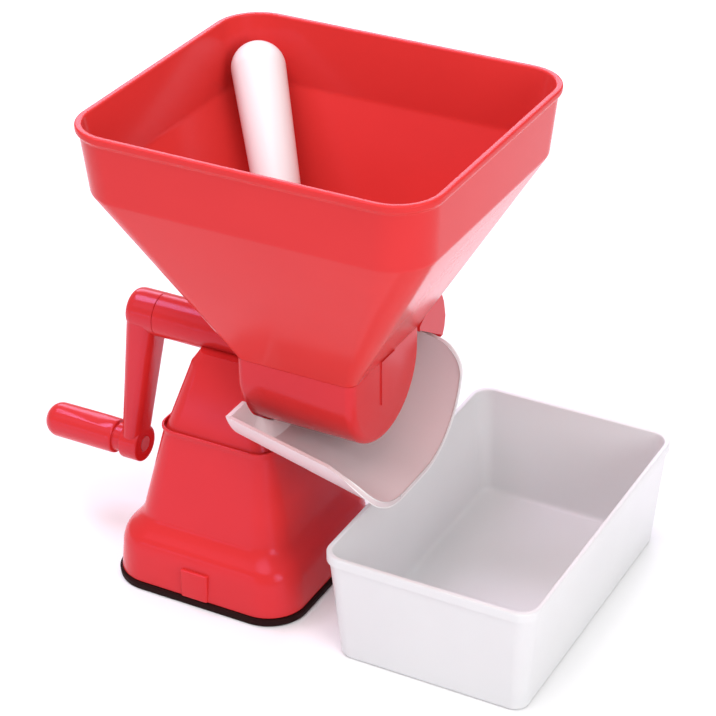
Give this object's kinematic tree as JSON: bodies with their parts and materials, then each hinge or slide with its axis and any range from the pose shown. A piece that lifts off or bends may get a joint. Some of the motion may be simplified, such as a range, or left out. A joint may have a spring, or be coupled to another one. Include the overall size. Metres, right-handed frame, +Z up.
{
  "type": "hand-cranked food mill",
  "caption": "Plastic food mill on a suction foot: a crank turns a helical press in a sieve under a funnel hopper, with a loose pusher, a sloping juice chute and a tray.",
  "frame": {"origin": "on the table under the middle of the suction foot", "axes": "+X along the crank axis away from the crank, towards the tray; +Z up; +Y to the back"},
  "size_m": [0.3738, 0.2479, 0.33],
  "materials": {
    "hopper_red": "glossy moulded red plastic",
    "body_red": "glossy moulded red plastic",
    "crank_red": "glossy moulded red plastic",
    "chute_white": "satin moulded white plastic",
    "tray_white": "satin moulded white plastic",
    "pusher_white": "smooth white plastic",
    "rubber_black": "matt black rubber",
    "steel": "turned stainless steel",
    "sieve_steel": "perforated stainless sheet",
    "bearing_white": "natural acetal",
    "rotor_white": "natural nylon"
  },
  "bodies": {
    "base": {"base_foot": "body_red", "upper_body": "body_red", "suction_pad": "rubber_black", "base_screws": "steel", "guide_bridge": "steel", "bridge_screws": "steel", "outer_bush": "bearing_white", "inner_bush": "bearing_white", "shaft_seal": "rubber_black", "end_bush": "bearing_white", "sieve": "sieve_steel"},
    "crank": {"crank_arm": "crank_red", "hub_screw": "steel", "knob_pin": "steel", "drive_shaft": "steel", "shaft_circlip": "steel", "press_rotor": "rotor_white"},
    "knob": {"crank_knob": "crank_red"},
    "lever": {"suction_lever": "body_red", "lever_screw": "steel", "cam_axle": "steel", "lift_cam": "bearing_white"},
    "stem": {"pad_stem": "steel"},
    "hopper": {"hopper": "hopper_red"},
    "pusher": {"pusher": "pusher_white"},
    "chute": {"chute": "chute_white"},
    "tray": {"tray": "tray_white"}
  },
  "joints": [
    {"name": "crank_turn", "type": "hinge", "parent": "base", "child": "crank", "pos_m": [0, 0, 0.162], "axis": [1, 0, 0], "continuous": true},
    {"name": "knob_spin", "type": "hinge", "parent": "crank", "child": "knob", "pos_m": [-0.11, -0.00774, 0.06782], "axis": [1, 0, 0], "continuous": true},
    {"name": "lever_turn", "type": "hinge", "parent": "base", "child": "lever", "pos_m": [0, 0.07, 0.017], "axis": [0, 1, 0], "range_deg": [0, 180]},
    {"name": "stem_lift", "type": "slide", "parent": "base", "child": "stem", "axis": [0, 0, 1], "range_m": [0, 0.0034]},
    {"name": "hopper_lift", "type": "slide", "parent": "base", "child": "hopper", "axis": [0, 0, 1], "range_m": [0, 0.06]},
    {"name": "pusher_lift", "type": "slide", "parent": "hopper", "child": "pusher", "axis": [0, 0, 1], "range_m": [0, 0.1]},
    {"name": "chute_slide", "type": "slide", "parent": "base", "child": "chute", "axis": [0.9703, 0, -0.2419], "range_m": [0, 0.022]},
    {"name": "tray_slide", "type": "slide", "parent": "base", "child": "tray", "axis": [1, 0, 0], "range_m": [0, 0.08]}
  ],
  "couplings": [
    {"joint": "stem_lift", "follows": "lever_turn", "m_per_rad": 0.001082}
  ]
}
